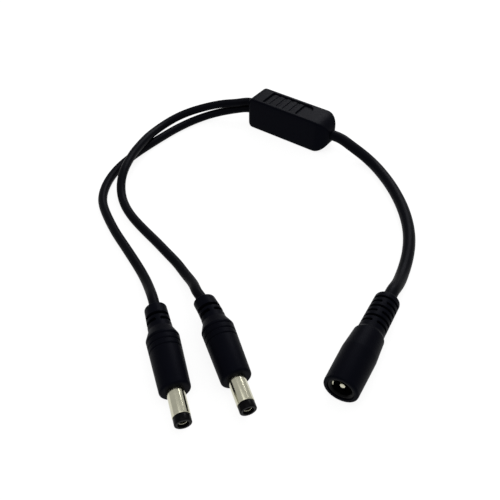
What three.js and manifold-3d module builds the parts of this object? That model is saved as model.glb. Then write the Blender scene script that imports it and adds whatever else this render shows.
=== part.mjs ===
// A power splitter cable: one round socket feeds two round plugs through a moulded splitter block.
// Lengths are millimetres. +Z is up, the origin is the centre of the block's underside, and +X runs
// along the block towards the socket's lead. Everything lies on the plane z = 0.
import * as THREE from 'three';
import { mergeVertices } from 'three/addons/utils/BufferGeometryUtils.js';
import Module from 'manifold-3d';

const wasm = await Module();
wasm.setup();

// Fits shared by all pieces
const mouldedGap = 0.3;          // between a moulding and what it is moulded round
const nestedGap = 0.2;           // between the thin turned pieces inside a connector
const buttGap = 0.3;             // between ends that meet face to face

// Cords
const branchCordDiameter = 3.2;
const trunkCordDiameter = 4.3;
const coreDiameter = 1.2;        // one insulated core
const corePitch = 1.6;           // between the two cores of a cord
const coreLead = 5;              // straight run of a core inside the block's end
const jacketGrip = 1.85;         // radius of the hole that a moulding leaves round the two cores

// Splitter block, standing on its narrow side
const blockLength = 41;
const blockWidth = 11.8;
const blockHeight = 14.9;
const blockEdgeRadius = 0.8;     // along the long edges
const blockHeelRadius = 1.1;     // upright corners at the branch end
const noseRadius = 5;            // top and bottom of the rounded end
const branchExitHeightLow = 5.2;
const branchExitHeightHigh = 8.8;
const trunkExitHeight = 7.45;

// Finger grip sunk into the top of the block
const gripStart = 7;             // from the branch end
const gripLength = 22.5;
const gripMargin = 1.6;          // wall left beside the grip
const gripDepth = 0.7;
const gripEndRadius = 3.2;
const barCount = 5;
const barWidth = 2.2;
const barPitch = 3.45;
const barDrop = 0.1;             // bars end this far below the top
const barSideGap = 0.5;
const barOffset = 1.2;           // first bar, from the start of the grip

// Crimped splices inside the block, one for each pole
const spliceLength = 8;
const spliceDiameter = 3;
const splicePitch = 5.4;         // between the two poles, across the block
const spliceCoreRise = 0.8;      // each branch core, above or below the splice's axis

// Male plug, measured along its axis from the tail
const plugMouldingLength = 32;
const plugReliefLength = 9.3;
const plugReliefDiameter = 6.8;
const plugNeckDiameter = 7.2;
const plugShoulderAt = 12.7;
const plugShoulderDiameter = 10.8;
const plugFrontDiameter = 9.7;
const plugFrontRounding = 0.8;
const plugTailRounding = 0.5;
const plugSlotStart = 3.9;
const plugSlotPitch = 2.3;
const plugSlotCount = 2;
const plugSlotWidth = 1.2;
const plugSlotFloorDiameter = 4.6;
const plugSlotWeb = 1.7;         // bridge left on both sides of a slot
const plugRingStart = 13.3;
const plugRingPitch = 2.1;
const plugRingCount = 3;
const plugRingWidth = 0.7;
const plugRingDepth = 0.3;

// Metal and insulation of the male plug
const barrelDiameter = 5.5;
const barrelWall = 0.3;
const barrelReach = 8.6;         // bare metal in front of the moulding
const barrelRoot = 10;           // metal held inside the moulding
const flangeDiameter = 7;
const flangeThickness = 0.8;
const tipRingLength = 2.4;
const tipRingDiameter = 5.3;
const tipChamfer = 0.25;
const insulatorWall = 0.55;
const contactDiameter = 3;
const contactBore = 2.3;
const contactBoreDepth = 11;
const contactRecess = 0.8;       // behind the tip
const contactSlotWidth = 0.4;
const contactSlotDepth = 5;
const contactBack = 3.4;         // tube behind the insulator's back end
const solderPinDiameter = 1.6;
const solderPinLength = 1.8;
const tabLength = 4;
const tabWidth = 2;
const tabThickness = 0.5;

// Female socket, measured along its axis from the tail
const socketLength = 39.8;
const socketReliefLength = 16;
const socketTailDiameter = 7.8;
const socketReliefDiameter = 8.1;
const socketShoulderDiameter = 10.3;
const socketShoulderRise = 0.9;
const socketBellyAt = 23.2;
const socketBellyDiameter = 11.6;
const socketMouthDiameter = 11;
const socketRimRounding = 0.7;
const socketTailRounding = 1.2;
const socketSlotStart = 2.4;
const socketSlotPitch = 2.2;
const socketSlotCount = 6;
const socketSlotWidth = 0.9;
const socketSlotFloorDiameter = 5.6;
const socketSlotWeb = 1.8;

// Inside the socket
const insertDiameter = 8.6;
const insertBore = 6.4;          // takes a 5.5 barrel
const insertLength = 13;
const insertBackWall = 2;
const insertRecess = 0.4;        // behind the socket's rim
const insertMouthChamfer = 0.45;
const pinDiameter = 2.1;
const pinRecess = 1;             // behind the insert's face
const pinTipRadius = 0.7;
const pinTail = 2.2;             // behind the insert
const leafWidth = 2.2;
const leafThickness = 0.35;
const leafRise = 0.55;           // how far the spring bows into the bore
const leafTail = 1.6;            // behind the insert
const leafRecess = 0.8;          // behind the insert's face

// Where the connectors lie: the tail's place in plan, and the way the axis points
const plugA = { x: 23.5, y: -120.1, heading: -37.6 };
const plugB = { x: 34.9, y: -107.4, heading: -35.2 };
const socketPlace = { x: 83.9, y: -72, heading: -83.8 };

const mouldingSides = 20;
const metalSides = 20;
const smallSides = 16;
const cordSides = 8;
const coreSides = 6;

const pvc = new THREE.MeshStandardMaterial({ color: 0x17171c, roughness: 0.42, metalness: 0 });
const cordPvc = new THREE.MeshStandardMaterial({ color: 0x1a1a20, roughness: 0.48, metalness: 0 });
const nickel = new THREE.MeshStandardMaterial({ color: 0xc9c6ba, roughness: 0.22, metalness: 1 });
const brass = new THREE.MeshStandardMaterial({ color: 0xc7a25c, roughness: 0.35, metalness: 1 });
const insert = new THREE.MeshStandardMaterial({ color: 0x0b0b0d, roughness: 0.18, metalness: 0 });
const redCore = new THREE.MeshStandardMaterial({ color: 0xa31c1c, roughness: 0.5, metalness: 0 });
const blackCore = new THREE.MeshStandardMaterial({ color: 0x141414, roughness: 0.5, metalness: 0 });

const model = new THREE.Group();

// Turns a closed surface into a solid, leaving out the empty triangles at a pole
function solid(geometry) {
  const bare = new THREE.BufferGeometry();
  bare.setAttribute('position', geometry.getAttribute('position'));
  bare.setIndex(geometry.getIndex());
  const merged = mergeVertices(bare, 1e-4);
  const index = merged.getIndex().array;
  const kept = [];
  for (let i = 0; i < index.length; i += 3) {
    const [a, b, c] = [index[i], index[i + 1], index[i + 2]];
    if (a !== b && b !== c && c !== a) kept.push(a, b, c);
  }
  return new wasm.Manifold(new wasm.Mesh({
    numProp: 3,
    vertProperties: new Float32Array(merged.getAttribute('position').array),
    triVerts: new Uint32Array(kept),
  }));
}

function surface(body) {
  const mesh = body.getMesh();
  const geometry = new THREE.BufferGeometry();
  geometry.setAttribute('position', new THREE.BufferAttribute(mesh.vertProperties, 3));
  geometry.setIndex(new THREE.BufferAttribute(mesh.triVerts, 1));
  return geometry;
}

function piece(name, body, material, parent) {
  const geometry = surface(body).toNonIndexed();
  geometry.computeVertexNormals();
  const mesh = new THREE.Mesh(geometry, material);
  mesh.name = name;
  parent.add(mesh);
}

// A closed profile of [distance along X, radius] pairs, turned about the X axis
function turned(profile, sides) {
  const points = profile.map(([along, radius]) => new THREE.Vector2(radius, along));
  points.push(points[0].clone());
  return solid(new THREE.LatheGeometry(points, sides).rotateZ(-Math.PI / 2));
}

// The points of a quarter round between two corners of a turned profile
function rounded(centreAlong, centreRadius, radius, from, to, steps = 3) {
  return Array.from({ length: steps + 1 }, (_, i) => {
    const angle = THREE.MathUtils.degToRad(from + (to - from) * i / steps);
    return [centreAlong + radius * Math.cos(angle), centreRadius + radius * Math.sin(angle)];
  });
}

function box(low, high) {
  const size = high.clone().sub(low);
  const centre = high.clone().add(low).multiplyScalar(0.5);
  return solid(new THREE.BoxGeometry(size.x, size.y, size.z).translate(centre.x, centre.y, centre.z));
}

// A round cord or wire through the given points
function strand(points, diameter, steps, sides = cordSides) {
  const section = new THREE.Shape(Array.from({ length: sides }, (_, i) => {
    const angle = 2 * Math.PI * (i + 0.5) / sides;
    return new THREE.Vector2(Math.cos(angle), Math.sin(angle)).multiplyScalar(diameter / 2);
  }));
  const extrudePath = new THREE.CatmullRomCurve3(points, false, 'centripetal');
  return solid(new THREE.ExtrudeGeometry(section, { steps, extrudePath, bevelEnabled: false }));
}

// A core that leaves one end straight, shifts across between two places along X and meets the other end straight
function core(from, to, diameter, shiftFrom, shiftTo) {
  const points = [from, from.clone().setX(shiftFrom), to.clone().setX(shiftTo), to];
  return strand(points, diameter, 7, coreSides);
}

const at = (x, y = 0, z = 0) => new THREE.Vector3(x, y, z);

// Splitter block

function blockBody() {
  // Side view, drawn in X and Z and thickened along Y with rounded edges
  const e = blockEdgeRadius;
  const half = blockLength / 2 - e;
  const top = blockHeight - e;
  const side = new THREE.Shape();
  side.moveTo(-half, e);
  side.lineTo(half - noseRadius, e);
  side.absarc(half - noseRadius, e + noseRadius, noseRadius, -Math.PI / 2, 0);
  side.absarc(half - noseRadius, top - noseRadius, noseRadius, 0, Math.PI / 2);
  side.lineTo(-half, top);
  side.closePath();
  const slab = solid(new THREE.ExtrudeGeometry(side, {
    depth: blockWidth - 2 * e, bevelEnabled: true, bevelSize: e, bevelThickness: e, bevelSegments: 2,
    curveSegments: 5,
  }).translate(0, 0, e - blockWidth / 2).rotateX(Math.PI / 2));
  // Plan view, round at the trunk end
  const end = blockLength / 2;
  const r = blockWidth / 2;
  const heel = blockHeelRadius;
  const plan = new THREE.Shape();
  plan.moveTo(-end, r - heel);
  plan.absarc(-end + heel, -r + heel, heel, Math.PI, Math.PI * 1.5);
  plan.absarc(end - r, 0, r, -Math.PI / 2, Math.PI / 2);
  plan.absarc(-end + heel, r - heel, heel, Math.PI / 2, Math.PI);
  const outline = solid(new THREE.ExtrudeGeometry(plan, {
    depth: blockHeight + 2, bevelEnabled: false, curveSegments: 6,
  }).translate(0, 0, -1));
  return slab.intersect(outline);
}

function gripCut() {
  const start = -blockLength / 2 + gripStart;
  const end = start + gripLength;
  const half = blockWidth / 2 - gripMargin;
  const r = Math.min(gripEndRadius, half);
  const outline = new THREE.Shape();
  outline.moveTo(start, half);
  outline.lineTo(start, -half);
  outline.lineTo(end - r, -half);
  outline.absarc(end - r, -half + r, r, -Math.PI / 2, 0);
  outline.absarc(end - r, half - r, r, 0, Math.PI / 2);
  outline.closePath();
  return solid(new THREE.ExtrudeGeometry(outline, {
    depth: gripDepth + 1, bevelEnabled: false, curveSegments: 4,
  }).translate(0, 0, blockHeight - gripDepth));
}

function gripBars() {
  const start = -blockLength / 2 + gripStart + barOffset;
  const half = blockWidth / 2 - gripMargin - barSideGap;
  return Array.from({ length: barCount }, (_, i) => {
    const low = start + i * barPitch;
    return box(at(low, -half, blockHeight - gripDepth - 0.5), at(low + barWidth, half, blockHeight - barDrop));
  });
}

// The six cores inside the block: from an end face to the splice of their pole
function blockCores(grow = 0, reach = 0) {
  const cores = {};
  const end = blockLength / 2 - buttGap + reach;
  const meet = spliceLength / 2 + buttGap;
  const straight = blockLength / 2 - coreLead;
  const diameter = coreDiameter + 2 * grow;
  for (const [pole, side] of [['positive', 1], ['negative', -1]]) {
    const near = side * corePitch / 2;
    const y = side * splicePitch / 2;
    const run = (way, height, splicedHeight) => core(at(way * end, near, height), at(way * meet, y, splicedHeight),
      diameter, way * straight, way * (meet + coreLead / 2));
    cores[`trunk_core_${pole}`] = run(1, trunkExitHeight, trunkExitHeight);
    cores[`branch_a_core_${pole}`] = run(-1, branchExitHeightLow, trunkExitHeight - spliceCoreRise);
    cores[`branch_b_core_${pole}`] = run(-1, branchExitHeightHigh, trunkExitHeight + spliceCoreRise);
  }
  return cores;
}

function splice(side, grow = 0) {
  const half = spliceLength / 2 + grow;
  const r = spliceDiameter / 2 + grow;
  const waist = r - 0.25;
  return turned([[-half, 0], [-half, r], [-half * 0.3, r], [-half * 0.2, waist], [half * 0.2, waist],
    [half * 0.3, r], [half, r], [half, 0]], smallSides)
    .translate([0, side * splicePitch / 2, trunkExitHeight]);
}

let block = blockBody().subtract(gripCut());
for (const bar of gripBars()) block = block.add(bar);
for (const channel of Object.values(blockCores(mouldedGap, 1))) block = block.subtract(channel);
for (const side of [1, -1]) block = block.subtract(splice(side, mouldedGap + buttGap));
piece('splitter_block', block, pvc, model);
piece('splice_positive', splice(1), brass, model);
piece('splice_negative', splice(-1), brass, model);
for (const [name, body] of Object.entries(blockCores())) {
  piece(name, body, name.endsWith('positive') ? redCore : blackCore, model);
}

// Strain relief slots: each pair leaves two bridges, turned a quarter from one slot to the next
function reliefSlots(start, pitch, count, width, floorDiameter, outerDiameter, web) {
  const slots = [];
  const reach = outerDiameter / 2 + 1;
  for (let i = 0; i < count; i++) {
    const low = start + i * pitch;
    const ring = turned([[low, reach], [low + width, reach],
      [low + width, floorDiameter / 2], [low, floorDiameter / 2]], mouldingSides);
    const across = i % 2 ? at(0.5, web / 2, reach + 1) : at(0.5, reach + 1, web / 2);
    const bridge = box(at(low - 0.5, -across.y, -across.z), at(low + width + 0.5, across.y, across.z));
    slots.push(ring.subtract(bridge));
  }
  return slots;
}

// Male plug

const barrelStart = plugMouldingLength - barrelRoot;
const barrelEnd = plugMouldingLength + barrelReach;
const plugLength = barrelEnd + tipRingLength;
const barrelBore = barrelDiameter - 2 * barrelWall;
const insulatorDiameter = barrelBore - 2 * nestedGap;
const insulatorBore = contactDiameter + 2 * nestedGap;
const insulatorBack = barrelStart - 1;
const contactStart = insulatorBack - contactBack + 1;
const tabInner = insulatorDiameter / 2 + 0.3;
const tabBack = barrelStart - tabLength;
const plugBoreEnd = plugShoulderAt - 1.5;
const plugPocketStart = contactStart - solderPinLength - 1;

function plugMoulding() {
  const front = plugFrontDiameter / 2;
  const shoulder = plugShoulderDiameter / 2;
  const slope = (front - shoulder) / (plugMouldingLength - plugShoulderAt);
  const radiusAt = (along) => shoulder + slope * (along - plugShoulderAt);
  const outside = [
    ...rounded(plugTailRounding, plugReliefDiameter / 2 - plugTailRounding, plugTailRounding, 180, 90, 2),
    [plugReliefLength, plugNeckDiameter / 2],
    [plugShoulderAt - 0.4, shoulder - 0.25],
    [plugShoulderAt, shoulder],
  ];
  for (let i = 0; i < plugRingCount; i++) {
    const centre = plugRingStart + i * plugRingPitch + plugRingWidth / 2;
    outside.push([centre - plugRingWidth / 2, radiusAt(centre - plugRingWidth / 2)]);
    outside.push([centre, radiusAt(centre) - plugRingDepth]);
    outside.push([centre + plugRingWidth / 2, radiusAt(centre + plugRingWidth / 2)]);
  }
  const r = plugFrontRounding;
  outside.push([plugMouldingLength - r, radiusAt(plugMouldingLength - r)]);
  outside.push(...rounded(plugMouldingLength - r, front - r, r, 60, 0, 2));
  const seat = barrelDiameter / 2 + mouldedGap;
  const pocket = Math.max(flangeDiameter / 2, tabInner + tabThickness + coreDiameter / 2) + mouldedGap;
  const inside = [
    [plugMouldingLength, seat],
    [barrelStart + flangeThickness + mouldedGap, seat],
    [barrelStart + flangeThickness + mouldedGap, pocket],
    [plugPocketStart, pocket],
    [plugBoreEnd, jacketGrip],
    [0, jacketGrip],
  ];
  let body = turned([...outside, ...inside], mouldingSides);
  for (const slot of reliefSlots(plugSlotStart, plugSlotPitch, plugSlotCount, plugSlotWidth,
    plugSlotFloorDiameter, plugNeckDiameter, plugSlotWeb)) body = body.subtract(slot);
  return body;
}

function plugSleeve() {
  const outer = barrelDiameter / 2;
  const inner = barrelBore / 2;
  const flange = flangeDiameter / 2;
  const shell = turned([[barrelStart, inner], [barrelStart, flange], [barrelStart + flangeThickness, flange],
    [barrelStart + flangeThickness, outer], [barrelEnd - tipChamfer / 2, outer], [barrelEnd, outer - tipChamfer / 2],
    [barrelEnd, inner]], metalSides);
  const tab = box(at(tabBack, -tabInner - tabThickness, -tabWidth / 2),
    at(barrelStart + flangeThickness / 2, -tabInner, tabWidth / 2));
  return shell.add(tab);
}

function plugInsulator() {
  const outer = insulatorDiameter / 2;
  const inner = insulatorBore / 2;
  const ring = tipRingDiameter / 2;
  return turned([[insulatorBack, inner], [insulatorBack, outer], [barrelEnd + nestedGap, outer],
    [barrelEnd + nestedGap, ring], [plugLength - tipChamfer, ring], [plugLength, ring - tipChamfer],
    [plugLength, inner]], metalSides);
}

function plugContact() {
  const outer = contactDiameter / 2;
  const inner = contactBore / 2;
  const pin = solderPinDiameter / 2;
  const end = plugLength - contactRecess;
  const tube = turned([[contactStart - solderPinLength, 0], [contactStart - solderPinLength, pin],
    [contactStart, pin], [contactStart, outer], [end, outer], [end, inner], [end - contactBoreDepth, inner],
    [end - contactBoreDepth, 0]], smallSides);
  const slot = box(at(end - contactSlotDepth, -outer - 1, -contactSlotWidth / 2),
    at(end + 1, outer + 1, contactSlotWidth / 2));
  return tube.subtract(slot);
}

// Lays a connector on the plane: it rests on two circles of its moulding
function lay(place, backAt, backDiameter, frontAt, frontDiameter) {
  const group = new THREE.Group();
  const lean = Math.asin((backDiameter - frontDiameter) / 2 / (frontAt - backAt));
  const height = backDiameter / 2 * Math.cos(lean) + backAt * Math.sin(lean);
  group.rotation.set(0, lean, THREE.MathUtils.degToRad(place.heading), 'ZYX');
  group.position.set(place.x, place.y, height);
  group.updateMatrixWorld(true);
  model.add(group);
  return group;
}

function addPlug(letter, place) {
  const group = lay(place, plugShoulderAt, plugShoulderDiameter, plugMouldingLength, plugFrontDiameter);
  piece(`plug_${letter}_moulding`, plugMoulding(), pvc, group);
  piece(`plug_${letter}_sleeve`, plugSleeve(), nickel, group);
  piece(`plug_${letter}_insulator`, plugInsulator(), insert, group);
  piece(`plug_${letter}_centre_contact`, plugContact(), nickel, group);
  const solderEnd = at(contactStart - solderPinLength - buttGap);
  const tabEnd = at(tabBack - buttGap, -tabInner - tabThickness / 2);
  piece(`plug_${letter}_core_positive`, core(at(buttGap, corePitch / 2), solderEnd, coreDiameter,
    plugBoreEnd, solderEnd.x - coreDiameter), redCore, group);
  piece(`plug_${letter}_core_negative`, core(at(buttGap, -corePitch / 2), tabEnd, coreDiameter,
    plugBoreEnd, plugPocketStart), blackCore, group);
  return group;
}

// Female socket

const insertFace = socketLength - insertRecess;
const insertStart = insertFace - insertLength;
const leafSeat = insertBore / 2;
const socketBoreEnd = socketReliefLength - 1;
const socketPocketStart = insertStart - pinTail - 2;

function socketMoulding() {
  const r = socketRimRounding;
  const mouth = socketMouthDiameter / 2;
  const outside = [
    ...rounded(socketTailRounding, socketTailDiameter / 2 - socketTailRounding, socketTailRounding, 180, 90, 3),
    [socketReliefLength, socketReliefDiameter / 2],
    [socketReliefLength + socketShoulderRise, socketShoulderDiameter / 2],
    [socketBellyAt - 2, socketBellyDiameter / 2 - 0.15],
    [socketBellyAt, socketBellyDiameter / 2],
    [socketBellyAt + 3, socketBellyDiameter / 2 - 0.05],
    ...rounded(socketLength - r, mouth - r, r, 90, 0, 3),
  ];
  const seat = insertDiameter / 2 + mouldedGap;
  const pocket = leafSeat + leafThickness + coreDiameter + mouldedGap;
  const inside = [
    [socketLength, seat],
    [insertStart - mouldedGap, seat],
    [insertStart - mouldedGap, Math.min(pocket, seat)],
    [socketPocketStart, Math.min(pocket, seat)],
    [socketBoreEnd, jacketGrip],
    [0, jacketGrip],
  ];
  let body = turned([...outside, ...inside], mouldingSides);
  for (const slot of reliefSlots(socketSlotStart, socketSlotPitch, socketSlotCount, socketSlotWidth,
    socketSlotFloorDiameter, socketReliefDiameter, socketSlotWeb)) body = body.subtract(slot);
  return body;
}

// The spring runs along this line on the bore's wall: distance along the axis, and how far it bows in
function leafLine() {
  return [
    [insertStart - leafTail, 0],
    [insertStart + insertBackWall + 1, 0],
    [insertFace - 4.5, leafRise],
    [insertFace - leafRecess, 0],
  ];
}

function leafContact() {
  const shape = new THREE.Shape();
  const line = leafLine();
  line.forEach(([along, bow], i) => {
    const r = leafSeat - bow + 0.05;
    if (i) shape.lineTo(along, -r);
    else shape.moveTo(along, -r);
  });
  line.reverse().forEach(([along, bow]) => shape.lineTo(along, -(leafSeat - bow + 0.05 + leafThickness)));
  shape.closePath();
  return solid(new THREE.ExtrudeGeometry(shape, { depth: leafWidth, bevelEnabled: false })
    .translate(0, 0, -leafWidth / 2));
}

function socketInsert() {
  const outer = insertDiameter / 2;
  const bore = insertBore / 2;
  const hole = pinDiameter / 2 + nestedGap;
  const floor = insertStart + insertBackWall;
  const body = turned([[insertStart, hole], [insertStart, outer], [insertFace - 0.2, outer],
    [insertFace, outer - 0.2], [insertFace, bore + insertMouthChamfer], [insertFace - insertMouthChamfer, bore],
    [floor, bore], [floor, hole]], metalSides);
  const groove = box(at(insertStart - 1, -leafSeat - 0.05 - leafThickness - nestedGap, -leafWidth / 2 - nestedGap),
    at(insertFace - leafRecess + nestedGap, -leafSeat + leafRise + 0.3, leafWidth / 2 + nestedGap));
  return body.subtract(groove);
}

function centrePin() {
  const r = pinDiameter / 2;
  const end = insertFace - pinRecess;
  const dome = rounded(end - pinTipRadius, r - pinTipRadius, pinTipRadius, 90, 0, 3);
  return turned([[insertStart - pinTail, 0], [insertStart - pinTail, r], ...dome, [end, 0]], smallSides);
}

const plugGroups = { a: addPlug('a', plugA), b: addPlug('b', plugB) };
const socketGroup = lay(socketPlace, 0, socketBellyDiameter, socketLength, socketBellyDiameter);
piece('socket_moulding', socketMoulding(), pvc, socketGroup);
piece('socket_insert', socketInsert(), insert, socketGroup);
piece('socket_centre_pin', centrePin(), nickel, socketGroup);
piece('socket_leaf_contact', leafContact(), nickel, socketGroup);
const pinBack = at(insertStart - pinTail - buttGap);
const leafBack = at(insertStart - leafTail - buttGap, -leafSeat - 0.05 - leafThickness / 2);
piece('socket_core_positive', core(at(buttGap, corePitch / 2), pinBack, coreDiameter,
  socketBoreEnd, pinBack.x - coreDiameter), redCore, socketGroup);
piece('socket_core_negative', core(at(buttGap, -corePitch / 2), leafBack, coreDiameter,
  socketBoreEnd, socketPocketStart), blackCore, socketGroup);

// Cords. Each leaves the block straight, comes down, lies on the plane and climbs to its connector.

// The last points before a connector: one butt gap off its tail, and straight behind it
function arrive(group, run = 4) {
  return [run + buttGap, buttGap].map((back) => group.localToWorld(at(-back)));
}

const blockEnd = blockLength / 2 + buttGap;
const routes = {
  trunk_cord: [
    at(blockEnd, 0, trunkExitHeight), at(24.6, 0.3, 7.0), at(29.4, 0.4, 5.6), at(35.2, 0, 4.0), at(41.1, -2.1, 2.9),
    at(46.7, -4.9, 2.3), at(55.6, -11.7, 2.15), at(64.4, -19.6, 2.15), at(71.3, -29.0, 2.15),
    at(76.5, -38.8, 2.15), at(80.1, -48.8, 2.3), at(81.7, -55.5, 3.1), at(82.7, -61.0, 4.3),
    ...arrive(socketGroup),
  ],
  branch_cord_a: [
    at(-blockEnd, 0, branchExitHeightLow), at(-24.5, -1.0, 5.1), at(-29, -4.6, 4.7), at(-33.8, -9.6, 4.0),
    at(-38, -14.6, 3.2), at(-41.6, -20.2, 2.4), at(-44.2, -26.2, 1.85), at(-45.6, -33, 1.65),
    at(-46.3, -40.4, 1.6), at(-46.4, -48.4, 1.6), at(-46.2, -56.4, 1.6), at(-45.6, -63.5, 1.6),
    at(-44.3, -70.9, 1.6), at(-42.1, -77.8, 1.6), at(-38.7, -83.9, 1.6), at(-34.3, -88.6, 1.6),
    at(-28.8, -92.3, 1.6), at(-22.4, -95.7, 1.6), at(-15.2, -99.2, 1.6), at(-7.0, -102.8, 1.6),
    at(0.8, -106.2, 1.7), at(6.3, -108.8, 2.1), at(12.2, -112.2, 3.4), ...arrive(plugGroups.a),
  ],
  branch_cord_b: [
    at(-blockEnd, 0, branchExitHeightHigh), at(-24.5, -1.0, 8.75), at(-29.6, -4.6, 8.4), at(-35.2, -8.6, 7.6),
    at(-40.2, -12.6, 6.5), at(-44.3, -17.2, 5.5), at(-47.5, -22.7, 4.8), at(-49.3, -29.2, 4.5),
    at(-49.7, -37, 4.8), at(-48.2, -46, 5.3), at(-46.7, -52, 5.5), at(-44.8, -57.4, 5.55),
    at(-42.8, -62.5, 5.5), at(-41.0, -66.0, 5.4), at(-39.2, -69.6, 5.0), at(-36.7, -74.1, 3.9),
    at(-34.3, -77.5, 2.8), at(-31.3, -80.7, 2.0), at(-27.4, -83.6, 1.65), at(-21.0, -87.1, 1.6),
    at(-12.6, -90.0, 1.6), at(-4.1, -92.2, 1.6), at(3.9, -94.5, 1.6), at(11.6, -96.9, 1.7),
    at(19.0, -99.7, 2.3), at(24.8, -102.4, 3.6), ...arrive(plugGroups.b),
  ],
};
piece('trunk_cord', strand(routes.trunk_cord, trunkCordDiameter, 14), cordPvc, model);
piece('branch_cord_a', strand(routes.branch_cord_a, branchCordDiameter, 22), cordPvc, model);
piece('branch_cord_b', strand(routes.branch_cord_b, branchCordDiameter, 26), cordPvc, model);

export default model;
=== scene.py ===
"""A power splitter cable on a white table: one round socket, a moulded block and two round plugs.

Tables of sizes are in millimetres and become metres in Blender. The part's frame has +Z up, its
origin under the middle of the block, and +X along the block towards the socket's lead. A connector's
own frame has X along its axis, from the tail to the open end.
"""
import math

import bmesh
import bpy
import numpy as np
from mathutils import Matrix, Vector


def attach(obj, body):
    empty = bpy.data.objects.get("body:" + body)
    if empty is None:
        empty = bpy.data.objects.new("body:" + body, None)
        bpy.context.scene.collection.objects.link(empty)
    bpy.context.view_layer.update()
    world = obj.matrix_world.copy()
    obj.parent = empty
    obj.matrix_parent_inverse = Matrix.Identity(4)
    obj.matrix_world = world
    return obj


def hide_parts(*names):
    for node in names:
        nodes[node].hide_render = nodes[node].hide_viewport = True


MM = 0.001

# The photograph's view: 500 pixels wide, 600 pixels of focal length
IMAGE_WIDTH = 500
FOCAL_PIXELS = 600
SENSOR_WIDTH = 36
VIEW_TARGET = (29.2, -74.7, 0)
VIEW_HEADING = 35.7
VIEW_ELEVATION = 44.5
VIEW_DISTANCE = 225.4
CLIP_RANGE = (0.01, 20)     # metres

# Floor and light. The floor shows partly as paper and partly as plain white
FLOOR_SIZE = 8              # metres
FLOOR_DROP = 0.02           # the part rests this far above it
PAPER_SHADE = 0.82
GLOW_STRENGTH = 1.12
GLOW_SHARE = 0.78
ROOM_STRENGTH = 0.6
LIGHT_CENTRE = (20, -60, 0)
# Name, direction from the centre, distance and size in metres, and power in watts
LIGHTS = (
    ("key", (-0.233, 0.816, 0.60), 0.9, (0.5, 0.35), 3.6),
    ("overhead", (0.1, -0.1, 1.0), 1.0, (0.9, 0.9), 3),
)

# Surfaces
GRAIN_DETAIL = 3
PATCH_SCALE = 260           # patches of colour and gloss, per metre
PATCH_DETAIL = 4
TINT_SPREAD = 0.15
GLOSS_SPREAD = 0.08
SHARP_ANGLE = 32            # degrees from which an edge is shown sharp

# Meshes
MERGE_DISTANCE = 1e-4
ROUNDING_SHARE = 0.49       # the most of a side that one rounding takes
FINE_EDGE = 0.1             # rounding of a hard part's edges
HOLE_EDGE = 0.08            # rounding of a hole's edge in a moulding
PLUG_SIDES = 144
SOCKET_SIDES = 168
TUBE_SIDES = 96
PIN_SIDES = 64
HOLE_SIDES = 48

# Cords
BRANCH_CORD = 3.6
TRUNK_CORD = 4.6
CORD_REACH = 2.3            # how far a cord goes into a moulding
CORD_HOLE = 2.5             # how deep its hole is
CORD_FIT = 0.02             # room round a cord in its hole
CORD_LEAD = 0.3             # from the block's end to a route's first point
CORD_ARRIVAL = (-4.3, -0.3)     # places on a connector's axis behind its tail
CORD_STEPS = 14             # from one point of a route to the next
CORD_ROUNDNESS = 10

# Splitter block
BLOCK_MIDDLE = (0.05, -0.5)
BLOCK_LENGTH = 42.3
BLOCK_WIDTH = 12.8
BLOCK_HEIGHT = 14.9
BLOCK_EDGE = 0.8            # rounding of the long edges
BLOCK_HEEL = 2              # upright corners at the branch end
BLOCK_HEEL_RISE = 3         # top and bottom of the branch end
NOSE = 7                    # top and bottom of the trunk end
EXIT_SIDE = -0.3            # the cords' place across the block
BRANCH_EXITS = (5.15, 9)
TRUNK_EXIT = 7.45
GRIP_START = 7.5            # from the branch end
GRIP_LENGTH = 22.5
GRIP_MARGIN = 1.8           # left on both sides of it
GRIP_DEPTH = 0.85
GRIP_END = 3.2              # its corners towards the trunk
GRIP_SOFTNESS = 0.34        # width over which a wall of the grip rises
GROOVE_DEPTH = 0.42         # between the bars
BAR_COUNT = 5
BAR_WIDTH = 2.2
BAR_PITCH = 3.45
BAR_OFFSET = 1.2            # from the grip's start to the first bar
BAR_DROP = 0.1              # the bars' tops lie this far under the block's
BAR_SIDE_GAP = 0.8          # on the far side
BAR_NEAR_REACH = 0.3        # the bars run this far into the near wall
GRIP_BORDER = 0.4           # fine cross-sections before and after the grip
GRIP_STEP = 0.1             # between two of them
GRIP_LANES = 100            # strips across the grip
HEEL_STEPS = 16
NOSE_STEPS = 30
CORNER_STEPS = 6
WALL_STEPS = 6

# What the connectors share. Slots are (start, pitch, count, width)
PART_FIT = 0.03             # room between a moulding and a hard part in it
SLOT_ROUNDING = 0.14
WEB_SOFTNESS = 0.25         # width over which a slot fades out at its bridges

# Male plug. A relief is (length, tail's diameter, neck's diameter), and a shoulder, waist, belly or
# front is (place, diameter). Places along a connector are taken from its tail
PLUG_LENGTH = 32
PLUG_RELIEF = (9.3, 7.4, 8)
PLUG_SHOULDER = (12.7, 10.8)
PLUG_FRONT = 9.7
PLUG_ROUNDINGS = (0.5, 1.2, 0.55, 0.8)      # tail, neck, shoulder, front
PLUG_SLOTS = (3.9, 2.3, 2, 1.2)
PLUG_SLOT_FLOOR = 5
PLUG_WEB = 1.7              # width of a slot's two bridges
PLUG_RINGS = (13.3, 2.1, 3, 0.7)
PLUG_RING_DEPTH = 0.3
PLUG_RING_FLOOR = 0.16      # its rounding
BARREL = 5.5
BARREL_BORE = 4.9
BARREL_START = 22
BARREL_END = 40.6
FLANGE = (7, 0.8)           # diameter, thickness
TIP_GAP = 0.2               # from the barrel's end to the tip's ring
TIP_END = 43
TIP_RING = 5.3
TIP_ROUNDING = 0.35
PLUG_POCKET = (14.8, 23.1, 7.9)     # back, front, diameter
PLUG_CORE_BORE = (11.2, 3.7)        # front, diameter
PLUG_TAB = (18, -3.05, -2.55, 1)    # back, two sides, half width
INSULATOR = (21, 3.4, 4.5)          # back, bore, diameter
CONTACT_TAIL = (16.8, 1.6)          # back, diameter
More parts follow.
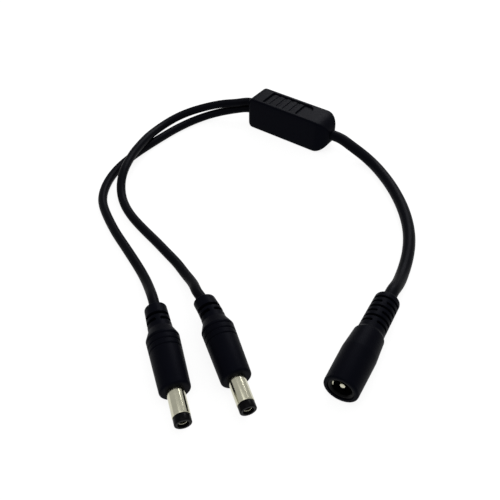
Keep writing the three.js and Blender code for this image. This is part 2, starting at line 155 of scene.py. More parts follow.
CONTACT = (18.6, 42.2, 3)           # back, front, diameter
CONTACT_BORE = (31.2, 2.3)          # bottom, diameter
CONTACT_SLIT = (37.2, 43.2, 2.5, 0.2)   # back, front, half reach, half width

# Female socket
SOCKET_LENGTH = 39.8
SOCKET_RELIEF = (16.3, 8.7, 9)
SOCKET_SHOULDER = (17.5, 10.4)
SOCKET_WAIST = (21.2, 10.9)
SOCKET_BELLY = (25.5, 11.6)
SOCKET_FRONT = (30, 11.5)
SOCKET_MOUTH = 11.2
SOCKET_ROUNDINGS = (1.2, 0.9, 0.9, 6, 8, 8, 0.8)    # tail, neck, shoulder, waist, belly, front, mouth
SOCKET_SLOTS = (2.4, 2.2, 6, 0.9)
SOCKET_SLOT_FLOOR = 6.2
SOCKET_WEB = 1.8
SOCKET_POCKET = (22.2, 9.1)         # back, diameter
SOCKET_CORE_BORE = (15, 4.8)        # front, diameter
INSERT = (26.4, 39.4, 8.6)          # back, front, diameter
INSERT_GAP = 0.3                    # from the pocket's front to the insert's back
INSERT_BORE = 6.4
INSERT_FLOOR = 2
INSERT_BEVEL = 0.45
PIN = (24.2, 38.4, 2.1)             # back, front, diameter
PIN_TIP = 0.75                      # rounding of its front
LEAF_GROOVE = (38.8, -3.8, -2.35, 1.3)  # front, two sides, half width
LEAF_WIDTH = 2.2
LEAF_THICKNESS = 0.35
LEAF_SEAT = 0.05                    # from the bore's wall into its groove
LEAF_EDGE = 0.08
LEAF_LINE = ((24.8, 0), (29.4, 0), (34.9, 0.55), (38.6, 0))    # back, bend, peak and front
LEAF_LIP = (0.8, 0.5, 0.5)          # the turned-in front end: its length, its turn and its rise
LEAF_STEPS = 60

# Tail's place in plan and heading of each connector
PLUG_A_PLACE = (23.5, -120.1, -37.6)
PLUG_B_PLACE = (34.9, -107.4, -35.2)
SOCKET_PLACE = (83.9, -72, -83.8)
PLUG_B_TAIL_BEND = -0.9     # the cord pulls the tail of this plug's strain relief to one side

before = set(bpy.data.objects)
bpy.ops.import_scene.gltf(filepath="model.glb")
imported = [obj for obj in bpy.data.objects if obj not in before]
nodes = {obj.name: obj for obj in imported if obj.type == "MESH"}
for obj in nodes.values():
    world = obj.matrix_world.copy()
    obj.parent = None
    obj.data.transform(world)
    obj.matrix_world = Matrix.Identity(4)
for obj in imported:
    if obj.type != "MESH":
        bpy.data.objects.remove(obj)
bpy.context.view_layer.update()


def laid(place, back_at, back_diameter, front_at, front_diameter):
    """A connector's frame when it rests on two circles of its moulding."""
    x, y, heading = place
    lean = math.asin((back_diameter - front_diameter) / 2 / (front_at - back_at))
    height = back_diameter / 2 * math.cos(lean) + back_at * math.sin(lean)
    turn = Matrix.Rotation(math.radians(heading), 4, "Z") @ Matrix.Rotation(lean, 4, "Y")
    return Matrix.Translation(Vector((x, y, height)) * MM) @ turn


PLUG_A = laid(PLUG_A_PLACE, *PLUG_SHOULDER, PLUG_LENGTH, PLUG_FRONT)
PLUG_B = laid(PLUG_B_PLACE, *PLUG_SHOULDER, PLUG_LENGTH, PLUG_FRONT)
SOCKET = laid(SOCKET_PLACE, 0, SOCKET_BELLY[1], SOCKET_LENGTH, SOCKET_BELLY[1])


# Camera, floor and light

def add_camera():
    data = bpy.data.cameras.new("camera")
    data.sensor_width = SENSOR_WIDTH
    data.lens = SENSOR_WIDTH * FOCAL_PIXELS / IMAGE_WIDTH
    data.clip_start, data.clip_end = CLIP_RANGE
    heading, elevation = math.radians(VIEW_HEADING), math.radians(VIEW_ELEVATION)
    look = Vector((-math.sin(heading) * math.cos(elevation), math.cos(heading) * math.cos(elevation),
                   -math.sin(elevation)))
    camera = bpy.data.objects.new("camera", data)
    camera.location = (Vector(VIEW_TARGET) - look * VIEW_DISTANCE) * MM
    camera.rotation_euler = look.to_track_quat("-Z", "Y").to_euler()
    bpy.context.scene.collection.objects.link(camera)
    bpy.context.scene.camera = camera


def add_shader(tree, kind, values=None):
    """A shader node with the values of its inputs."""
    shader = tree.nodes.new("ShaderNode" + kind)
    for name, value in (values or {}).items():
        shader.inputs[name].default_value = value
    return shader


def add_floor():
    bpy.ops.mesh.primitive_plane_add(size=FLOOR_SIZE, location=(0, 0, -FLOOR_DROP * MM))
    floor = bpy.context.object
    floor.name = "floor"
    material = bpy.data.materials.new("white_table")
    material.use_nodes = True
    tree = material.node_tree
    tree.nodes.clear()
    output = add_shader(tree, "OutputMaterial")
    mix = add_shader(tree, "MixShader")
    paper = add_shader(tree, "BsdfDiffuse", {"Color": (PAPER_SHADE, PAPER_SHADE, PAPER_SHADE, 1)})
    glow = add_shader(tree, "Emission", {"Color": (1, 1, 1, 1), "Strength": GLOW_STRENGTH})
    share = add_shader(tree, "Math", {1: GLOW_SHARE})
    share.operation = "MULTIPLY"
    tree.links.new(background_rays(tree), share.inputs[0])
    tree.links.new(share.outputs[0], mix.inputs["Fac"])
    tree.links.new(paper.outputs["BSDF"], mix.inputs[1])
    tree.links.new(glow.outputs["Emission"], mix.inputs[2])
    tree.links.new(mix.outputs["Shader"], output.inputs["Surface"])
    floor.data.materials.append(material)


def background_rays(tree):
    """1 for the rays that show the background: from the camera, off gloss and through glass."""
    path = add_shader(tree, "LightPath")
    first = add_shader(tree, "Math")
    second = add_shader(tree, "Math")
    first.operation = second.operation = "MAXIMUM"
    tree.links.new(path.outputs["Is Camera Ray"], first.inputs[0])
    tree.links.new(path.outputs["Is Glossy Ray"], first.inputs[1])
    tree.links.new(first.outputs[0], second.inputs[0])
    tree.links.new(path.outputs["Is Transmission Ray"], second.inputs[1])
    return second.outputs[0]


def add_light(name, towards, distance, size, power):
    """A softbox that faces the light centre from a direction and a distance."""
    data = bpy.data.lights.new(name, "AREA")
    data.shape = "RECTANGLE"
    data.size, data.size_y = size
    data.energy = power
    light = bpy.data.objects.new(name, data)
    away = Vector(towards).normalized()
    light.location = Vector(LIGHT_CENTRE) * MM + away * distance
    light.rotation_euler = away.to_track_quat("Z", "Y").to_euler()
    bpy.context.scene.collection.objects.link(light)


def add_world():
    world = bpy.data.worlds.new("studio")
    world.use_nodes = True
    tree = world.node_tree
    tree.nodes.clear()
    output = add_shader(tree, "OutputWorld")
    mix = add_shader(tree, "MixShader")
    path = add_shader(tree, "LightPath")
    room = add_shader(tree, "Background", {"Color": (1, 1, 1, 1), "Strength": ROOM_STRENGTH})
    white = add_shader(tree, "Background", {"Color": (1, 1, 1, 1), "Strength": 1})
    tree.links.new(path.outputs["Is Camera Ray"], mix.inputs["Fac"])
    tree.links.new(room.outputs["Background"], mix.inputs[1])
    tree.links.new(white.outputs["Background"], mix.inputs[2])
    tree.links.new(mix.outputs["Shader"], output.inputs["Surface"])
    bpy.context.scene.world = world


# Materials

def moulded(name, color, roughness, specular, grain, metallic=0.0, stretch=(1, 1, 1), sheen=(1, 1, 1)):
    """A moulded or plated surface: fine grain in the bump, soft changes in the roughness and colour.

    The grain is (size, depth). The sheen tints what the surface reflects.
    """
    grain_size, grain_depth = grain
    material = bpy.data.materials.new(name)
    material.use_nodes = True
    tree = material.node_tree
    shader = tree.nodes["Principled BSDF"]
    shader.inputs["Metallic"].default_value = metallic
    shader.inputs["Specular IOR Level"].default_value = specular
    shader.inputs["Specular Tint"].default_value = (*sheen, 1)
    place = add_shader(tree, "TexCoord")
    scale = add_shader(tree, "Mapping", {"Scale": stretch})
    tree.links.new(place.outputs["Object"], scale.inputs["Vector"])

    noise = add_shader(tree, "TexNoise", {"Scale": 1 / (grain_size * MM), "Detail": GRAIN_DETAIL})
    bump = add_shader(tree, "Bump", {"Strength": 1, "Distance": grain_depth * MM})
    tree.links.new(scale.outputs["Vector"], noise.inputs["Vector"])
    tree.links.new(noise.outputs["Fac"], bump.inputs["Height"])
    tree.links.new(bump.outputs["Normal"], shader.inputs["Normal"])

    patches = add_shader(tree, "TexNoise", {"Scale": PATCH_SCALE, "Detail": PATCH_DETAIL})
    tree.links.new(scale.outputs["Vector"], patches.inputs["Vector"])
    gloss = add_shader(tree, "MapRange", {"To Min": roughness - GLOSS_SPREAD / 2,
                                          "To Max": roughness + GLOSS_SPREAD / 2})
    tree.links.new(patches.outputs["Fac"], gloss.inputs["Value"])
    tree.links.new(gloss.outputs["Result"], shader.inputs["Roughness"])
    tint = add_shader(tree, "Mix")
    tint.data_type = "RGBA"
    tint.inputs["A"].default_value = (*[c * (1 - TINT_SPREAD) for c in color], 1)
    tint.inputs["B"].default_value = (*[min(1, c * (1 + TINT_SPREAD)) for c in color], 1)
    tree.links.new(patches.outputs["Fac"], tint.inputs["Factor"])
    tree.links.new(tint.outputs["Result"], shader.inputs["Base Color"])
    return material


MOULDING = moulded("moulding_pvc", (0.0017, 0.0019, 0.0036), roughness=0.42, specular=0.021,
                   grain=(0.16, 0.012), sheen=(0.72, 0.74, 1))
CORD = moulded("cord_pvc", (0.0020, 0.0021, 0.0032), roughness=0.42, specular=0.03,
               grain=(0.12, 0.008), sheen=(0.75, 0.78, 1))
NICKEL = moulded("nickel", (0.545, 0.533, 0.415), roughness=0.15, specular=0.5,
                 grain=(0.25, 0.0012), metallic=1.0, stretch=(14, 1, 1))
TIP_PLASTIC = moulded("tip_plastic", (0.0012, 0.0012, 0.0016), roughness=0.24, specular=0.05,
                      grain=(0.3, 0.003))
BRASS = moulded("splice_brass", (0.55, 0.38, 0.14), roughness=0.3, specular=0.5,
                grain=(0.2, 0.004), metallic=1.0)
CORE_RED = moulded("core_red", (0.32, 0.016, 0.014), roughness=0.45, specular=0.4, grain=(0.2, 0.004))
CORE_BLACK = moulded("core_black", (0.008, 0.008, 0.009), roughness=0.45, specular=0.4,
                     grain=(0.2, 0.004))


# Meshes

def add_object(name, data, place=None):
    """Puts mesh or curve data into the scene, in a connector's frame if one is given."""
    obj = bpy.data.objects.new(name, data)
    bpy.context.scene.collection.objects.link(obj)
    if place is not None:
        obj.matrix_world = place
    return obj


def shade(data):
    """Smooth shading between sharp edges."""
    data.shade_smooth()
    data.set_sharp_from_angle(angle=math.radians(SHARP_ANGLE))


def finish_mesh(name, surface):
    """Turns a bmesh in millimetres into smooth-shaded mesh data in metres."""
    bmesh.ops.remove_doubles(surface, verts=surface.verts, dist=MERGE_DISTANCE)
    bmesh.ops.recalc_face_normals(surface, faces=surface.faces)
    bmesh.ops.scale(surface, vec=(MM, MM, MM), verts=surface.verts)
    data = bpy.data.meshes.new(name)
    surface.to_mesh(data)
    surface.free()
    shade(data)
    return data


def ring_surface(rings, closed):
    """A surface over rings of points. A closed one joins the last ring to the first; others are capped."""
    surface = bmesh.new()
    rows = [[surface.verts.new(p) for p in ring] for ring in rings]
    count = len(rows[0])
    pairs = zip(rows, rows[1:] + rows[:1]) if closed else zip(rows, rows[1:])
    for low, high in pairs:
        for j in range(count):
            k = (j + 1) % count
            surface.faces.new((low[j], low[k], high[k], high[j]))
    if not closed:
        surface.faces.new(rows[0])
        surface.faces.new(rows[-1])
    return surface


def outline(corners, steps=5):
    """The points of a closed outline. A corner is (along, radius), with its rounding as a third number."""
    points = []
    for i, (along, radius, *rounding) in enumerate(corners):
        here = Vector((along, radius))
        if not rounding:
            points.append(here)
            continue
        before = Vector(corners[i - 1][:2]) - here
        after = Vector(corners[(i + 1) % len(corners)][:2]) - here
        reach = rounding[0] / math.tan(before.angle(after) / 2)
        start = here + before.normalized() * min(reach, before.length * ROUNDING_SHARE)
        end = here + after.normalized() * min(reach, after.length * ROUNDING_SHARE)
        for k in range(steps + 1):
            t = k / steps
            points.append(start * (1 - t) ** 2 + here * (2 * t * (1 - t)) + end * t ** 2)
    return points


def on_line(back, front, along):
    """The point of a straight wall at a place along the axis."""
    return back.lerp(front, (along - back.x) / (front.x - back.x))


def eased(share):
    """0 up to 0 and 1 from 1, with a soft rise between."""
    t = np.clip(share, 0, 1)
    return t * t * (3 - 2 * t)


def slotted(points, slots, floor_radius):
    """Adds relief slots to the outer wall of an outline. Each point becomes (plain, cut, turn)."""
    start, pitch, count, width = slots
    profile = [(p, p, 0) for p in points]
    for i in range(count):
        low, high = start + i * pitch, start + i * pitch + width
        at = next(k for k in range(len(profile) - 1)
                  if profile[k][0].x < low and profile[k + 1][0].x > high)
        back, front = profile[at][0], profile[at + 1][0]
        cut = outline([
            (*on_line(back, front, low - SLOT_ROUNDING),), (*on_line(back, front, low), SLOT_ROUNDING),
            (low, floor_radius, SLOT_ROUNDING), (high, floor_radius, SLOT_ROUNDING),
            (*on_line(back, front, high), SLOT_ROUNDING), (*on_line(back, front, high + SLOT_ROUNDING),),
        ], steps=4)
        steps = len(cut) - 1
        first, last = cut[0].x, cut[-1].x
        plain = [on_line(back, front, first + (last - first) * k / steps) for k in range(steps + 1)]
        profile[at + 1:at + 1] = [(p, c, i % 2) for p, c in zip(plain, cut)]
    return profile


def tail_shift(along, bend):
    """How far a bent strain relief stands aside of its axis. It is straight from its neck on."""
    return bend * np.maximum(0, 1 - np.asarray(along) / PLUG_RELIEF[0]) ** 2


def turned(name, profile, place, material, web=0.0, sides=TUBE_SIDES, bend=0.0):
    """Turns a closed outline about X. Slots fade out at their two bridges, a quarter apart by turns."""
    angles = np.linspace(0, 2 * math.pi, sides, endpoint=False)
    cosines, sines = np.cos(angles), np.sin(angles)
    rings = []
    for entry in profile:
        plain, cut, turn = entry if len(entry) == 3 else (entry, entry, 0)
        across = np.abs(cosines if turn else sines) * plain.y
        depth = eased((across - web / 2) / WEB_SOFTNESS + 0.5)
        along = plain.x + (cut.x - plain.x) * depth
        radius = plain.y + (cut.y - plain.y) * depth
        rings.append(list(zip(along, radius * cosines + tail_shift(along, bend), radius * sines)))
    obj = add_object(name, finish_mesh(name, ring_surface(rings, closed=True)), place)
    dress(obj, material)
    return obj


def dress(obj, material):
    """Gives an object its one material."""
    obj.data.materials.clear()
    obj.data.materials.append(material)


def block_tool(name, low, high, place=None):
    """A box between two corners, used to cut or join."""
    surface = bmesh.new()
    bmesh.ops.create_cube(surface, size=1)
    size, middle = Vector(high) - Vector(low), (Vector(high) + Vector(low)) / 2
    bmesh.ops.scale(surface, vec=size, verts=surface.verts)
    bmesh.ops.translate(surface, vec=middle, verts=surface.verts)
    return add_object(name, finish_mesh(name, surface), place)


def combine(obj, tool, operation="DIFFERENCE"):
    """Cuts a tool from an object, or joins it, and keeps the result as the object's own mesh."""
    modifier = obj.modifiers.new("combine", "BOOLEAN")
    modifier.operation = operation
    modifier.solver = "EXACT"
    modifier.object = tool
    bpy.context.view_layer.update()
    evaluated = obj.evaluated_get(bpy.context.evaluated_depsgraph_get())
    data = bpy.data.meshes.new_from_object(evaluated)
    obj.modifiers.clear()
    obj.data = data
    data.name = obj.name
    shade(data)
    bpy.data.objects.remove(tool)


# Splitter block

def soft_step(distance):
    """0 outside an edge of the grip, 1 inside it, with a rounded rise between."""
    return eased(distance / GRIP_SOFTNESS + 0.5)


def grip_depth(x, y):
    """How far the top is sunk at a point: the grip's recess, less the bars standing in it."""
    start = -BLOCK_LENGTH / 2 + GRIP_START
    end = start + GRIP_LENGTH
    half = BLOCK_WIDTH / 2 - GRIP_MARGIN
    corner_x, corner_y = end - GRIP_END, half - GRIP_END
    past_x, past_y = np.maximum(x - corner_x, 0), np.maximum(np.abs(y) - corner_y, 0)
    rounded = GRIP_END - np.hypot(past_x, past_y)
    straight = np.minimum(x - start, half - np.abs(y))
    inside = np.where(x > corner_x, rounded, straight)
    ends = np.minimum(half - BAR_SIDE_GAP - y, half + BAR_NEAR_REACH + y)
    first = start + BAR_OFFSET
    last = first + (BAR_COUNT - 1) * BAR_PITCH + BAR_WIDTH
    among_bars = np.minimum(np.minimum(x - first, last - x), ends)
    depth = GRIP_DEPTH * soft_step(inside) - (GRIP_DEPTH - GROOVE_DEPTH) * soft_step(among_bars)
    for i in range(BAR_COUNT):
        low = first + i * BAR_PITCH
        bar = np.minimum(np.minimum(x - low, low + BAR_WIDTH - x), ends)
        depth = depth - (GROOVE_DEPTH - BAR_DROP) * soft_step(bar)
    return np.maximum(depth, 0)


def rounded_off(radius, past):
    """How far a quarter round has come in at a distance past its start."""
    return radius - math.sqrt(max(radius ** 2 - past ** 2, 0))


def block_stations():
    """The places of the cross-sections along the block, closest in the grip and on the rounds."""
    end = BLOCK_LENGTH / 2
    heel = [-end + BLOCK_HEEL_RISE * (1 - math.cos(a)) for a in np.linspace(0, math.pi / 2, HEEL_STEPS)]
    middle = list(np.arange(-end + GRIP_START - GRIP_BORDER, -end + GRIP_START + GRIP_LENGTH + GRIP_BORDER,
                            GRIP_STEP))
    plain = list(np.linspace(heel[-1] + 0.6, middle[0] - 0.4, 5))
    radius = BLOCK_WIDTH / 2
    bridge = list(np.linspace(middle[-1] + 0.5, end - radius - 0.2, 6))
    nose = [end - radius + radius * math.sin(a) for a in np.linspace(0, math.pi / 2, NOSE_STEPS)]
    return heel + plain + middle + bridge + nose


def block_ring(x):
    """The block's cross-section: a rectangle with rounded corners, and the grip sunk into its top."""
    end = BLOCK_LENGTH / 2
    radius = BLOCK_WIDTH / 2
    half, drop = radius, 0.0
    from_heel = x + end
    if from_heel < BLOCK_HEEL:
        half -= rounded_off(BLOCK_HEEL, BLOCK_HEEL - from_heel)
    if from_heel < BLOCK_HEEL_RISE:
        drop = rounded_off(BLOCK_HEEL_RISE, BLOCK_HEEL_RISE - from_heel)
    past_round = x - (end - radius)
    if past_round > 0:
        half -= rounded_off(radius, past_round)
    past_nose = x - (end - NOSE)
    if past_nose > 0:
        drop = rounded_off(NOSE, past_nose)
    edge = min(BLOCK_EDGE, half)
    low, high = drop, BLOCK_HEIGHT - drop
    points = []
    for y, z, start in ((half - edge, low + edge, -90), (half - edge, high - edge, 0),
                        (edge - half, high - edge, 90), (edge - half, low + edge, 180)):
        for k in range(CORNER_STEPS + 1):
            a = math.radians(start + 90 * k / CORNER_STEPS)
            points.append((x, y + edge * math.cos(a), z + edge * math.sin(a)))
        if start == 0:
            ys = np.linspace(half - edge, edge - half, GRIP_LANES + 1)[1:-1]
            points += list(zip(np.full_like(ys, x), ys, high - grip_depth(np.full_like(ys, x), ys)))
        elif start in (-90, 90):
            zs = np.linspace(low + edge, high - edge, WALL_STEPS + 1)[1:-1]
            zs = zs if start == -90 else zs[::-1]
            points += [(x, half if start == -90 else -half, z) for z in zs]
        else:
            points += [(x, t, low) for t in np.linspace(edge - half, half - edge, WALL_STEPS + 1)[1:-1]]
    return points


def hole_tool(centre, diameter, way):
    """A round cutter for a cord's hole in the block, going in from one end."""
    outside = 1
    surface = bmesh.new()
    bmesh.ops.create_cone(
        surface, cap_ends=True, segments=HOLE_SIDES, radius1=diameter / 2, radius2=diameter / 2,
        depth=2 * (CORD_HOLE + outside), matrix=Matrix.Rotation(math.pi / 2, 4, "Y"))
    bmesh.ops.translate(
        surface, vec=(BLOCK_MIDDLE[0] + way * (BLOCK_LENGTH / 2 + outside), EXIT_SIDE, centre),
        verts=surface.verts)
    return add_object("hole_tool", finish_mesh("hole_tool", surface))


def add_block():
    """The splitter block with its three cord holes."""
    rings = [block_ring(x) for x in block_stations()]
    block = add_object("block_shell", finish_mesh("block_shell", ring_surface(rings, closed=False)),
                       Matrix.Translation(Vector((*BLOCK_MIDDLE, 0)) * MM))
    for height in BRANCH_EXITS:
        combine(block, hole_tool(height, BRANCH_CORD + 2 * CORD_FIT, -1))
    combine(block, hole_tool(TRUNK_EXIT, TRUNK_CORD + 2 * CORD_FIT, 1))
    dress(block, MOULDING)
    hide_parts("splitter_block")
    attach(block, "root")


# Male plug

def plug_outline():
    """The moulding from its tail along the outside to the open end, and back through its bores."""
    relief, tail, neck = PLUG_RELIEF
    shoulder_at, shoulder = PLUG_SHOULDER
    slope = (PLUG_FRONT - shoulder) / 2 / (PLUG_LENGTH - shoulder_at)

    def wall(along):
        return shoulder / 2 + slope * (along - shoulder_at)

    at_tail, at_neck, at_shoulder, at_front = PLUG_ROUNDINGS
    corners = [(0, tail / 2, at_tail), (relief, neck / 2, at_neck), (shoulder_at, shoulder / 2, at_shoulder)]
    start, pitch, count, width = PLUG_RINGS
    for i in range(count):
        low, high = start + i * pitch, start + i * pitch + width
        middle = (low + high) / 2
        corners += [(low, wall(low), FINE_EDGE),
                    (middle, wall(middle) - PLUG_RING_DEPTH, PLUG_RING_FLOOR),
                    (high, wall(high), FINE_EDGE)]
    grip = BRANCH_CORD / 2 + CORD_FIT
    seat = BARREL / 2 + PART_FIT
    pocket_back, pocket_front, pocket = PLUG_POCKET
    bore_front, bore = PLUG_CORE_BORE
    corners += [
        (PLUG_LENGTH, wall(PLUG_LENGTH), at_front), (PLUG_LENGTH, seat, HOLE_EDGE),
        (pocket_front, seat), (pocket_front, pocket / 2), (pocket_back, pocket / 2), (bore_front, bore / 2),
        (relief, bore / 2), (relief * 0.75, bore / 2), (relief / 2, bore / 2),
        (CORD_HOLE, bore / 2), (CORD_HOLE, grip), (0, grip, HOLE_EDGE),
    ]
    return outline(corners)


def add_plug(letter, place, bend=0.0):
    """A plug's moulding, barrel, insulator and centre contact. Returns the moulding."""
    moulding = turned(f"plug_{letter}_grip", slotted(plug_outline(), PLUG_SLOTS, PLUG_SLOT_FLOOR / 2),
                      place, MOULDING, web=PLUG_WEB, sides=PLUG_SIDES, bend=bend)
    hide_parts(f"plug_{letter}_moulding")
    flange, thickness = FLANGE
    sleeve = turned(f"plug_{letter}_barrel", outline([
        (BARREL_START, BARREL_BORE / 2), (BARREL_START, flange / 2, FINE_EDGE),
        (BARREL_START + thickness, flange / 2, FINE_EDGE), (BARREL_START + thickness, BARREL / 2),
        (BARREL_END, BARREL / 2, 0.16), (BARREL_END, BARREL_BORE / 2, 0.06),
    ]), place, NICKEL)
    tab_back, far_side, near_side, half = PLUG_TAB
    tab = block_tool("tab_tool", (tab_back, far_side, -half),
                     (BARREL_START + thickness / 2, near_side, half), place)
    combine(sleeve, tab, "UNION")
    dress(sleeve, NICKEL)
    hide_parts(f"plug_{letter}_sleeve")
    back, bore, tube = INSULATOR
    tip = BARREL_END + TIP_GAP
    insulator = turned(f"plug_{letter}_tip", outline([
        (back, bore / 2), (back, tube / 2), (tip, tube / 2), (tip, TIP_RING / 2, FINE_EDGE),
        (TIP_END, TIP_RING / 2, TIP_ROUNDING), (TIP_END, bore / 2, 0.12),
    ]), place, TIP_PLASTIC)
    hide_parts(f"plug_{letter}_insulator")
    tail_back, tail = CONTACT_TAIL
    back, front, tube = CONTACT
    bottom, bore = CONTACT_BORE
    contact = turned(f"plug_{letter}_contact", outline([
        (tail_back, 0), (tail_back, tail / 2, FINE_EDGE), (back, tail / 2), (back, tube / 2, FINE_EDGE),
        (front, tube / 2, 0.12), (front, bore / 2, 0.12), (bottom, bore / 2), (bottom, 0),
    ]), place, NICKEL, sides=PIN_SIDES)
    slit_back, slit_front, reach, half = CONTACT_SLIT
    combine(contact, block_tool("slit_tool", (slit_back, -reach, -half), (slit_front, reach, half), place))
    dress(contact, NICKEL)
    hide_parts(f"plug_{letter}_centre_contact")
    for piece in (moulding, sleeve, insulator, contact):
        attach(piece, "root")
    return moulding


# Female socket

def socket_outline():
    """The moulding from its tail along the outside to the mouth, and back through its bores."""
    relief, tail, neck = SOCKET_RELIEF
    shoulder_at, shoulder = SOCKET_SHOULDER
    waist_at, waist = SOCKET_WAIST
    belly_at, belly = SOCKET_BELLY
    front_at, front = SOCKET_FRONT
    seat = INSERT[2] / 2 + PART_FIT
    grip = TRUNK_CORD / 2 + CORD_FIT
    pocket_back, pocket = SOCKET_POCKET
    pocket_front = INSERT[0] - INSERT_GAP
    bore_front, bore = SOCKET_CORE_BORE
    outside = [(0, tail), (relief, neck), (shoulder_at, shoulder), (waist_at, waist), (belly_at, belly),
               (front_at, front), (SOCKET_LENGTH, SOCKET_MOUTH)]
    return outline([
        *[(along, width / 2, rounding) for (along, width), rounding in zip(outside, SOCKET_ROUNDINGS)],
        (SOCKET_LENGTH, seat, 0.12),
        (pocket_front, seat), (pocket_front, pocket / 2), (pocket_back, pocket / 2), (bore_front, bore / 2),
        (CORD_HOLE, bore / 2), (CORD_HOLE, grip), (0, grip, HOLE_EDGE),
    ])


def leaf_mesh():
    """The side contact: a thin strip on the bore's wall that bows towards the pin."""
    back, bend, peak, front = LEAF_LINE
    alongs = np.linspace(back[0], front[0], LEAF_STEPS)
    bow = np.zeros_like(alongs)
    rise = (alongs > bend[0]) & (alongs <= peak[0])
    fall = alongs > peak[0]
    bow[rise] = peak[1] * (1 - np.cos(np.pi * (alongs[rise] - bend[0]) / (peak[0] - bend[0]))) / 2
    bow[fall] = peak[1] * (1 + np.cos(np.pi * (alongs[fall] - peak[0]) / (front[0] - peak[0]))) / 2
    lip_length, turn, lip_rise = LEAF_LIP
    share = (alongs - front[0] + lip_length) / turn
    bow += lip_rise * eased(share)
    inner = INSERT_BORE / 2 + LEAF_SEAT
    half = LEAF_WIDTH / 2
    rings = []
    for along, inwards, end in zip(alongs, bow, np.clip(share, 0, 1)):
        near, far = inner - inwards, inner - inwards * (1 - end) + LEAF_THICKNESS
        corners = ((near, half, -1, -1), (near, -half, -1, 1), (far, -half, 1, 1), (far, half, 1, -1))
        ring = []
        for radius, z, out, across in corners:
            first = (along, -radius, z + across * LEAF_EDGE)
            second = (along, -(radius - out * LEAF_EDGE), z)
            ring += [second, first] if (out, across) in ((-1, -1), (1, 1)) else [first, second]
        rings.append(ring)
    return finish_mesh("socket_leaf", ring_surface(rings, closed=False))


def add_socket():
    """The socket's moulding, insert, pin and leaf contact. Returns the moulding."""
    moulding = turned("socket_grip", slotted(socket_outline(), SOCKET_SLOTS, SOCKET_SLOT_FLOOR / 2),
                      SOCKET, MOULDING, web=SOCKET_WEB, sides=SOCKET_SIDES)
    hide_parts("socket_moulding")
    back, face, diameter = INSERT
    bore = INSERT_BORE / 2
    hole = PIN[2] / 2 + PART_FIT
    floor = back + INSERT_FLOOR
    insert = turned("socket_bush", outline([
        (back, hole), (back, diameter / 2), (face, diameter / 2, 0.2),
        (face, bore + INSERT_BEVEL, FINE_EDGE),
        (face - INSERT_BEVEL, bore, 0.15), (floor, bore), (floor, hole),
    ]), SOCKET, TIP_PLASTIC)
    groove_front, far_side, near_side, half = LEAF_GROOVE
    groove = block_tool("groove_tool", (back - 1, far_side, -half), (groove_front, near_side, half), SOCKET)
    combine(insert, groove)
    dress(insert, TIP_PLASTIC)
    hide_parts("socket_insert")
    start, end, pin = PIN
    centre = turned("socket_pin", outline([
        (start, 0), (start, pin / 2, FINE_EDGE), (end, pin / 2, PIN_TIP), (end, 0),
    ], steps=8), SOCKET, NICKEL, sides=PIN_SIDES)
    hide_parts("socket_centre_pin")
    leaf = add_object("socket_leaf", leaf_mesh(), SOCKET)
    dress(leaf, NICKEL)
    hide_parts("socket_leaf_contact")
    for piece in (moulding, insert, centre, leaf):
        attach(piece, "root")
    return moulding


# Cords. A route is the centre line's points from the block to just behind the connector

TRUNK_ROUTE = [
    (21.5, -0.3, 7.45), (25, -0.3, 7.3), (30.2, -0.7, 6.1), (36.3, -0.9, 4.1), (43.4, -2.8, 2.5),
    (49.8, -6.8, 2.3), (55.8, -11.5, 2.3), (61.3, -16.6, 2.3), (66.4, -22.2, 2.3), (71, -28.3, 2.3),
    (74.9, -34.8, 2.3), (78, -41.8, 2.3), (80.3, -49, 2.3), (82, -56.4, 2.9), (83.1, -63, 4.6),
]
BRANCH_A_ROUTE = [
    (-21.4, -0.3, 5.15), (-24.6, -0.9, 5.1), (-28.8, -3.9, 4.75), (-33.5, -7.9, 3.95), (-38.4, -13, 2.85),
    (-42.1, -19.2, 2.0), (-44.1, -26, 1.8), (-45.2, -33.2, 1.8), (-45.8, -40.3, 1.8), (-46.2, -47.5, 1.8),
    (-46.4, -54.7, 1.8), (-46.1, -61.9, 1.8), (-45, -69, 1.8), (-42.8, -75.9, 1.8), (-39.5, -82.2, 1.8),
    (-34.9, -87.8, 1.8), (-29.1, -92, 1.8), (-22.8, -95.5, 1.8), (-16.3, -98.7, 1.8), (-9.7, -101.5, 1.8),
    (-3.1, -104.3, 1.8), (3.5, -107.2, 1.8), (9.8, -110.5, 2.5), (16.1, -114.6, 4.5),
]
BRANCH_B_ROUTE = [
    (-21.4, -0.3, 9), (-24.6, -1, 8.95), (-28.2, -4.2, 8.75), (-32.6, -7.2, 8.2), (-37.7, -11.2, 7.3),
    (-42.3, -15.9, 6.2), (-46, -21.2, 5.2), (-48.3, -27.3, 4.5), (-49.1, -33.9, 4.2), (-48.5, -40.4, 4.65),
    (-47.1, -46.9, 5.4), (-45.4, -53.2, 5.75), (-43.5, -59.6, 5.8), (-41, -65.7, 5.75), (-38.1, -71.6, 5.4),
    (-34.7, -77, 3.8), (-30.2, -81.5, 2.2), (-24.7, -85.1, 1.8), (-18.7, -87.9, 1.8), (-12.5, -90, 1.8),
    (-6.1, -91.8, 1.8), (0.2, -93.5, 1.8), (6.6, -95.4, 1.8), (12.9, -97.3, 1.8), (19, -99.9, 2.3),
    (26.2, -103.7, 4.5),
]


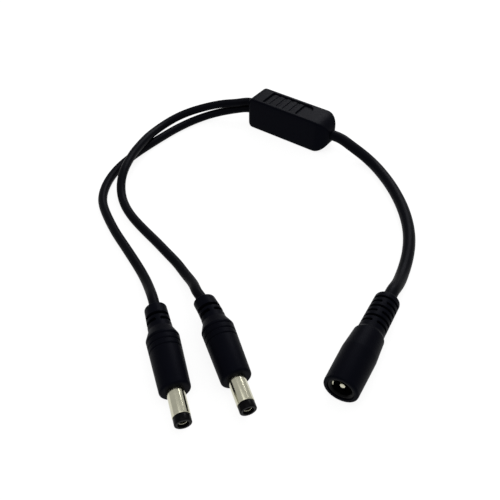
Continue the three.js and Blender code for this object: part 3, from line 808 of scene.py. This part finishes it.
def smooth_handles(points):
    """Tangents of the smoothest curve through the points, level with the first and last step."""
    count = len(points)
    steps = np.linalg.norm(np.diff(points, axis=0), axis=1)
    left = np.zeros((count, count))
    right = np.zeros((count, 3))
    left[0, 0] = left[-1, -1] = 1
    right[0] = (points[1] - points[0]) / steps[0]
    right[-1] = (points[-1] - points[-2]) / steps[-1]
    for i in range(1, count - 1):
        before, after = steps[i - 1], steps[i]
        left[i, i - 1], left[i, i], left[i, i + 1] = 1 / before, 2 / before + 2 / after, 1 / after
        right[i] = 3 * ((points[i] - points[i - 1]) / before ** 2 + (points[i + 1] - points[i]) / after ** 2)
    return np.linalg.solve(left, right), steps


def add_cord(name, node, route, place, diameter, bend=0.0):
    """A round cord from inside the block to inside a connector, through its route's points."""
    way = Vector((math.copysign(1, route[0][0]), 0, 0))
    exit_point = Vector(route[0]) - way * CORD_LEAD
    arrive = [place @ Vector((along * MM, tail_shift(along, bend) * MM, 0)) / MM
              for along in (*CORD_ARRIVAL, CORD_REACH)]
    points = np.array([exit_point - way * CORD_REACH, *route, *arrive]) * MM
    tangents, steps = smooth_handles(points)
    curve = bpy.data.curves.new(name, "CURVE")
    curve.dimensions = "3D"
    curve.resolution_u = CORD_STEPS
    curve.bevel_depth = diameter / 2 * MM
    curve.bevel_resolution = CORD_ROUNDNESS
    curve.use_fill_caps = True
    spline = curve.splines.new("BEZIER")
    spline.bezier_points.add(len(points) - 1)
    for i, knot in enumerate(spline.bezier_points):
        before, after = steps[max(i - 1, 0)], steps[min(i, len(steps) - 1)]
        knot.co = points[i]
        knot.handle_left_type = knot.handle_right_type = "FREE"
        knot.handle_left = points[i] - tangents[i] * before / 3
        knot.handle_right = points[i] + tangents[i] * after / 3
    cord = add_object(name, curve)
    dress(cord, CORD)
    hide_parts(node)
    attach(cord, "root")


# Assembly

add_camera()
add_world()
add_floor()
for light in LIGHTS:
    add_light(*light)

add_block()
plug_a = add_plug("a", PLUG_A)
plug_b = add_plug("b", PLUG_B, PLUG_B_TAIL_BEND)
socket = add_socket()
add_cord("trunk_lead", "trunk_cord", TRUNK_ROUTE, SOCKET, TRUNK_CORD)
add_cord("branch_lead_a", "branch_cord_a", BRANCH_A_ROUTE, PLUG_A, BRANCH_CORD)
add_cord("branch_lead_b", "branch_cord_b", BRANCH_B_ROUTE, PLUG_B, BRANCH_CORD,
         PLUG_B_TAIL_BEND)

# What no side shows keeps the solids' meshes
for name, node in nodes.items():
    if "_core_" in name:
        dress(node, CORE_RED if name.endswith("positive") else CORE_BLACK)
    elif name.startswith("splice_"):
        dress(node, BRASS)

bpy.context.scene.view_settings.view_transform = "Standard"
